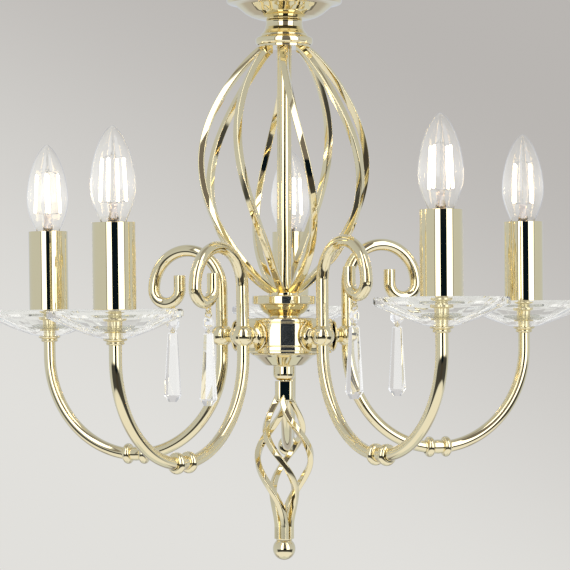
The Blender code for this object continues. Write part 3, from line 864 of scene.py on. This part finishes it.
def socket():
    """Moulded lamp socket inside the sleeve."""
    base = DISH_HIGH.z - 0.2
    outer = [(8.0, base), (8.0, 42), (12.6, 44), (12.6, 71.5)]
    outline = [(0, base), *outer, (7.6, 71.5), (7.6, 46), (0, 46)]
    return moved(lathe("lamp_socket", outline, 48, 0.4), x=REACH)


def sleeve():
    outline = tube_outline(SLEEVE_R - 0.9, SLEEVE_R, SLEEVE_LOW.z, SLEEVE_TOP)
    return moved(lathe("sleeve_tube", outline, 128, 0.25), x=REACH)


def bulb_radius(height):
    """The candle bulb's outline, from its neck at -3 to its tip at 73.5."""
    full = BULB_TOP - SLEEVE_TOP
    widest = 0.37 * full
    if height > widest:
        share = min((height - widest) / (full - widest), 1.0)
        return BULB_R * (1 - share**1.8) ** 0.65
    return 8.3 + (BULB_R - 8.3) * math.cos(math.pi / 2 * (widest - height) / (widest + 3)) ** 1.05


def bulb_envelope():
    full = BULB_TOP - SLEEVE_TOP
    neck = -3.0
    heights = [neck + (full - 0.25 - neck) * math.sin(math.pi / 2 * i / 60) for i in range(61)]
    wall = 0.45
    outer = [(bulb_radius(h), SLEEVE_TOP + h) for h in heights]
    inner = [(max(bulb_radius(h) - wall, 0.12), SLEEVE_TOP + h) for h in heights[:-2]]
    tips = [(0, BULB_TOP), (0, BULB_TOP - wall - 0.3)]
    return moved(lathe("bulb_envelope", [*outer, *tips, *reversed(inner)], 80, 0), x=REACH)


def screw_cap():
    """Nickel-plated screw cap with rolled threads."""
    low = arm_box("bulb_cap_1")[0].z
    top = SLEEVE_TOP - 3.4
    outline = [(0, low), (2.6, low), (3.0, low + 0.5), (5.6, low + 2.6), (6.3, low + 3.6)]
    threads = 7
    pitch = (top - 3.4 - (low + 4)) / threads
    for k in range(threads):
        z = low + 4 + k * pitch
        outline += [(6.2, z), (6.6, z + pitch * 0.3), (6.6, z + pitch * 0.55), (6.2, z + pitch * 0.85)]
    outline += [(6.6, top - 2.2), (9.2, top - 0.9), (9.4, top), (0, top)]
    return moved(lathe("screw_cap", outline, 48, 0.12), x=REACH)


# Filaments' ends: heights above the sleeve, and distances from the lamp's axis
FILAMENT_LOW, FILAMENT_HIGH = 15.5, 48.5
FOOT_R, HEAD_R = 10.6, 8.8


def glass_stem():
    """Drawn glass mount that carries the support wires."""
    base = SLEEVE_TOP
    outline = [(0, base - 2.9), (5.6, base - 2.9), (4.2, base + 2), (3.2, base + 7), (3.0, base + 11)]
    outline += [(3.6, base + 13.4), (3.2, base + 14.6), (0, base + 15.2)]
    return moved(lathe("glass_stem", outline, 40, 0.6), x=REACH)


def filament_ends(inset=0.0):
    """The foot and head of each filament, moved into it by inset."""
    ends = []
    for i in range(4):
        a = math.radians(20 + 90 * i)
        foot = (FOOT_R * math.cos(a), FOOT_R * math.sin(a), SLEEVE_TOP + FILAMENT_LOW + inset)
        head = (HEAD_R * math.cos(a), HEAD_R * math.sin(a), SLEEVE_TOP + FILAMENT_HIGH - inset)
        ends.append((Vector(foot), Vector(head)))
    return ends


def filaments():
    """Four upright filaments that lean in towards the top."""
    sticks = []
    for foot, head in filament_ends():
        lean = (head - foot).normalized()
        side = lean.cross(Vector((-foot.y, foot.x, 0))).normalized()
        frames = [(side, lean.cross(side))] * 5
        shares = [(0.0, 0.55), (0.03, 1.0), (0.5, 1.0), (0.97, 1.0), (1.0, 0.55)]
        path = [foot.lerp(head, t) for t, _ in shares]
        sticks.append(sweep("stick", path, frames, [circle(1.1 * r, 16) for _, r in shares]))
    return moved(joined("filaments", *sticks), x=REACH)


def support_wires():
    """Wires that carry the filaments, with the small ring that ties them at the top."""
    wires = []
    hub_low = Vector((0, 0, SLEEVE_TOP + 14.4))
    hub_high = Vector((0, 0, SLEEVE_TOP + FILAMENT_HIGH + 3.4))
    for foot, head in filament_ends(inset=0.2):
        for start, end in ((hub_low, foot), (head, hub_high)):
            lean = (end - start).normalized()
            side = lean.cross(Vector((0.3, 0.4, 1))).normalized()
            frames = [(side, lean.cross(side))] * 2
            wires.append(sweep("wire", [start, end], frames, [circle(0.28, 10)] * 2))
    mast = lathe("mast", tube_outline(0, 0.45, SLEEVE_TOP + 14, hub_high.z + 12), 12)
    hoop = lathe("hoop", tube_outline(1.0, 1.8, hub_high.z - 1, hub_high.z + 1), 24)
    return moved(joined("support_wires", mast, hoop, *wires), x=REACH)


def link_ring():
    ring = wire_ring("link_ring", LINK_R, LINK_WIRE_R, across=(1, 0, 0))
    return moved(ring, x=DROP_X, z=(LINK_LOW.z + LINK_HIGH.z) / 2)


BEAD_R = 6.2
BEAD_Z = DROP_HIGH.z - BEAD_R * math.cos(math.radians(22.5))


def bead():
    """Octagonal bead, cut with a table and a ring of slanting facets on each face."""
    layers = ((-2.6, 2.9), (-1.1, 5.9), (-0.5, BEAD_R), (0.5, BEAD_R), (1.1, 5.9), (2.6, 2.9))
    points = []
    for y, size in layers:
        for i in range(8):
            a = math.radians(22.5 + 45 * i)
            points.append((DROP_X + size * math.cos(a), y, BEAD_Z + size * math.sin(a)))
    return mesh_from("cut_bead", points, capped_rings(len(layers), 8), sharp_angle=3.0)


def bead_pin():
    """Wire pin between the bead and the prism, with a small head on each side."""
    top = BEAD_Z - 4.2
    path = [(DROP_X, 0, top + 0.6), (DROP_X, 0, top - 1.2), (DROP_X, 0, top - 4.2)]
    pin = sweep("pin", path, flat_frames(path), [circle(0.45, 12)] * 3)
    loop = moved(wire_ring("loop", 1.5, 0.4, steps=32), x=DROP_X, z=top - 2.6)
    return joined("bead_pin", pin, loop)


# How each prism has turned on its pin, in degrees
PRISM_TURNS = (0.0, 18.0, -34.0, 66.0, -10.0)


def prism(number):
    """Long crystal, widening downwards, with bevelled sides and a blunt foot, turned on its pin."""
    top = DROP_HIGH.z - 12.3
    bottom = DROP_LOW.z
    stations = [
        (top, 4.6, 3.0),
        (top - 2.4, 8.2, 5.4),
        (bottom + 6.0, 14.3, 8.4),
        (bottom + 5.4, 14.3, 8.4),
        (bottom, 6.4, 2.6),
    ]
    half = [(0.5, 0.1), (0.27, 0.5), (-0.27, 0.5), (-0.5, 0.1)]
    section = [*half, *((-x, -y) for x, y in half)]
    points = []
    for z, width, thickness in stations:
        points += [(x * width, y * thickness, z) for x, y in section]
    mesh = mesh_from("cut_prism", points, capped_rings(len(stations), 8), sharp_angle=3.0)
    mesh.transform(Matrix.Rotation(math.radians(PRISM_TURNS[number - 1]), 4, "Z"))
    return moved(mesh, x=DROP_X)


def build_arms():
    brass = "polished_brass"
    joint = (
        ("joint_stub", joint_stub(), BRASS, brass, "arm_joint"),
        ("joint_ball", joint_ball(), BRASS, brass, None),
    )
    fixed = (
        ("bent_tube", bent_tube(), BRASS_TUBE, brass, "arm_tube"),
        ("scroll_eye", scroll_eye(), BRASS, brass, None),
        ("dish_seat", dish_seat(), BRASS, brass, None),
        ("knuckle_rings", knuckle(), BRASS, brass, "arm_knuckle"),
        ("cut_dish", cut_dish(), CUT_GLASS, "cut_glass", "glass_dish"),
        ("dish_washer", dish_washer(), CLEAR_RUBBER, "bakelite", None),
        ("nipple_cup", nipple_and_cup(), BRASS, brass, None),
        ("lamp_socket", socket(), BAKELITE, "bakelite", "lamp_holder"),
        ("sleeve_tube", sleeve(), BRASS_SHEET, brass, "candle_sleeve"),
    )
    bulb = (
        ("bulb_envelope", bulb_envelope(), LAMP_GLASS, "bulb_glass", "bulb_glass"),
        ("screw_cap", screw_cap(), NICKEL, "cap_steel", "bulb_cap"),
        ("glass_stem", glass_stem(), STEM_GLASS, "bulb_glass", None),
        ("filaments", filaments(), FILAMENT, "cap_steel", None),
        ("support_wires", support_wires(), NICKEL, "cap_steel", None),
    )
    link = (("link_ring", link_ring(), BRASS, brass, "drop_link"),)
    top_of_drop = (
        ("cut_bead", bead(), CRYSTAL, "crystal", "crystal_drop"),
        ("bead_pin", bead_pin(), BRASS, brass, None),
    )
    for number in ARMS:
        drop = (*top_of_drop, ("cut_prism", prism(number), CRYSTAL, "crystal", None))
        as_set, as_hung, upright = set_axes(number), eye_axes(number), upright_axes(number)
        groups = (
            (CHANDELIER, joint, upright),
            (CHANDELIER, fixed, as_set),
            (f"bulb_{number}", bulb, as_set),
            (f"link_{number}", link, as_hung),
            (f"crystal_{number}", drop, as_hung),
        )
        for body, pieces, where in groups:
            for name, mesh, finish, slot, node in pieces:
                stands_for = [f"{node}_{number}"] if node else ()
                place(f"{name}_{number}", mesh, finish, where, body, stands_for)


# The studio

FLOOR_DROP = 0.9
FLOOR_R = 9.0
CAMERA_DISTANCE = 2.226
CAMERA_TURN = math.radians(1.5)


# Turns to the right of the camera and rises above its height, in degrees, of what the metal mirrors
LEFT_BOX = (-34, -8.6)
RIGHT_BOX = (25.5, 57)
BLACK_TOP = (3.2, 6.0)


def backdrop_colour(graph):
    """Pale backdrop, lighter at the lower left, as the camera and the glass see it."""
    window = graph.parts(graph.place("Window"))
    across = graph.maths("MULTIPLY", window["X"], -0.49)
    down = graph.maths("SUBTRACT", 1.0, window["Y"])
    along = graph.ranged(graph.maths("ADD", across, down), 0, 1, -0.49, 1.0)
    ramp = graph.node("ValToRGB", {"Fac": along})
    ramp.color_ramp.interpolation = "EASE"
    stops = ramp.color_ramp.elements
    stops[0].position, stops[0].color = 0.10, (0.485, 0.465, 0.445, 1)
    stops[1].position, stops[1].color = 0.82, (0.755, 0.745, 0.715, 1)
    return ramp.outputs["Color"]


def in_camera_space(graph):
    """The X, Y and Z of a ray's direction as the camera has them."""
    settings = {"vector_type": "VECTOR", "convert_from": "WORLD", "convert_to": "CAMERA"}
    seen = graph.node("VectorTransform", {0: graph.place("Generated")}, **settings)
    return graph.parts(seen.outputs[0])


def floor_mirrored(graph, rise, near_side):
    """The floor's light: bright on the camera's side, with a dark seam far behind the chandelier."""
    blue_white = (0.66, 0.72, 0.80)
    far_floor = graph.mix(graph.step(rise, -46, -50), (0.47, 0.47, 0.53), blue_white)
    floor = graph.mix(near_side, far_floor, (0.90, 0.93, 1.02))
    far_side = graph.maths("SUBTRACT", 1.0, near_side)
    seam = graph.maths("MULTIPLY", far_side, graph.band(rise, -51, -46.5, 0.7))
    floor = graph.mix(graph.maths("MULTIPLY", seam, 0.85), floor, (0.12, 0.11, 0.12))
    return graph.mix(graph.step(rise, -76, -84), floor, blue_white)


def studio_colour(graph):
    """What polished metal reflects: pale walls, two tall soft boxes beside the camera, dark between."""
    seen = in_camera_space(graph)
    behind = graph.maths("MULTIPLY", seen["Z"], -1.0)
    turn = graph.maths("DEGREES", graph.maths("ARCTAN2", seen["X"], behind))
    world = graph.parts(graph.place("Generated"))
    rise = graph.maths("DEGREES", graph.maths("ARCSINE", world["Z"]))

    floor = floor_mirrored(graph, rise, graph.band(turn, -112, 112, 14))
    walls = graph.mix(graph.step(rise, -40, 60), (0.62, 0.675, 0.78), (0.53, 0.57, 0.65))
    room = graph.mix(graph.step(rise, -35, -20), floor, walls)
    room = graph.mix(graph.step(rise, 64, 80), room, (0.34, 0.34, 0.36))

    low_gap = graph.maths("MULTIPLY", graph.band(turn, -75, 95, 8), graph.band(rise, -27, -5, 2))
    room = graph.mix(graph.maths("MULTIPLY", low_gap, 0.93), room, (0.02, 0.02, 0.022))
    both = graph.maths("ADD", graph.band(turn, *LEFT_BOX, 1.0), graph.band(turn, *RIGHT_BOX, 1.0))
    boxes = graph.maths("MULTIPLY", both, graph.band(rise, -5, 60, 2))
    room = graph.mix(boxes, room, (2.3, 2.4, 2.6))
    frames = graph.maths("ADD", graph.band(turn, -40, -36.5, 1.0), graph.band(turn, 60, 63, 1.0))
    frames = graph.maths("MULTIPLY", frames, graph.band(rise, -8, 64, 2))
    room = graph.mix(graph.maths("MULTIPLY", frames, 0.75), room, (0.16, 0.13, 0.10))

    between = graph.band(turn, LEFT_BOX[1], RIGHT_BOX[0], 0.8)
    dark = graph.maths("MULTIPLY", between, graph.band(rise, -27, 72, 3))
    shade = graph.mix(graph.step(rise, *BLACK_TOP), (0.003, 0.008, 0.016), (0.19, 0.18, 0.19))
    shade = graph.mix(graph.step(rise, -9, -13), shade, (0.06, 0.056, 0.054))
    return graph.mix(dark, room, shade)


def build_world():
    """Metal mirrors the studio. The camera sees the backdrop, and so does glass, with some studio."""
    world = bpy.data.worlds.new("studio")
    bpy.context.scene.world = world
    world.use_nodes = True
    world.node_tree.nodes.clear()
    graph = Graph(world.node_tree)
    ray = graph.node("LightPath", {}).outputs
    studio = studio_colour(graph)
    turned_back = graph.step(in_camera_space(graph)["Z"], 0.6, 0.1)
    turned_back = graph.maths("MULTIPLY", turned_back, 0.45)
    refracted = graph.mix(turned_back, backdrop_colour(graph), studio)
    mirrored = graph.maths("SUBTRACT", ray["Is Glossy Ray"], ray["Is Transmission Ray"])
    seen = graph.mix(graph.maths("MAXIMUM", mirrored, 0.0), refracted, studio)
    seen = graph.mix(ray["Is Diffuse Ray"], seen, (0.85, 0.85, 0.84))
    light = graph.node("Background", {"Color": seen})
    graph.node("OutputWorld", {"Surface": light.outputs[0]})


def floor_material():
    """Matt pale floor that turns clear towards its edge."""
    material, graph, shader = node_material("pale_floor")
    mottle = graph.noise(30, 4)
    looks = {
        "Base Color": graph.mix(mottle, (0.80, 0.79, 0.76), (0.83, 0.82, 0.79)),
        "Roughness": graph.ranged(mottle, 0.85, 0.95),
        "Normal": graph.bump((graph.noise(400, 4), 0.0002)),
    }
    graph.feed(shader, looks)
    length = graph.node("VectorMath", {0: graph.place("Object")}, operation="LENGTH").outputs["Value"]
    fade = graph.ranged(length, 0, 1, 0.25 * FLOOR_R, 0.85 * FLOOR_R, "SMOOTHSTEP")
    clear = graph.node("BsdfTransparent", {})
    blend = graph.node("MixShader", {"Fac": fade, 1: shader.outputs[0], 2: clear.outputs[0]})
    graph.feed(graph.nodes["Material Output"], {"Surface": blend.outputs[0]})
    return material


def build_floor():
    disc = lathe("floor_disc", [(0, -2), (FLOOR_R / MM, -2), (FLOOR_R / MM, 0), (0, 0)], 96, 0)
    disc.materials.append(floor_material())
    floor = bpy.data.objects.new("pale_floor", disc)
    bpy.context.scene.collection.objects.link(floor)
    floor.location.z = FINIAL_TIP * MM + HUB_TOP - FLOOR_DROP
    floor.visible_glossy = False


def build_camera():
    """Level camera at the height of the hub's top, a little to the right of the first arm's line."""
    data = bpy.data.cameras.new("camera")
    data.sensor_width = 36
    data.lens = 171.5
    data.shift_x = 0.0014
    data.shift_y = 0.058
    data.clip_end = 100
    camera = bpy.data.objects.new("camera", data)
    bpy.context.scene.collection.objects.link(camera)
    turned = Matrix.Rotation(CAMERA_TURN, 3, "Z")
    camera.location = turned @ Vector((0, -CAMERA_DISTANCE, 0)) + Vector((0, 0, HUB_TOP))
    camera.rotation_euler = (math.radians(90), 0, CAMERA_TURN)
    bpy.context.scene.camera = camera


def build_light():
    """One wide soft light above and behind the camera, which neither metal nor glass shows."""
    data = bpy.data.lights.new("soft_key", "AREA")
    data.shape = "DISK"
    data.size = 1.6
    data.energy = 25
    data.color = (1.0, 0.99, 0.97)
    key = bpy.data.objects.new("soft_key", data)
    bpy.context.scene.collection.objects.link(key)
    key.location = (0.8, -2.4, 1.6)
    aim = Vector((0, 0, HUB_TOP)) - key.location
    key.rotation_euler = aim.to_track_quat("-Z", "Y").to_euler()
    key.visible_glossy = False
    key.visible_transmission = False
    key.visible_camera = False


build_spine()
build_arms()
build_floor()
build_world()
build_light()
build_camera()
bpy.context.scene.view_settings.view_transform = "Standard"
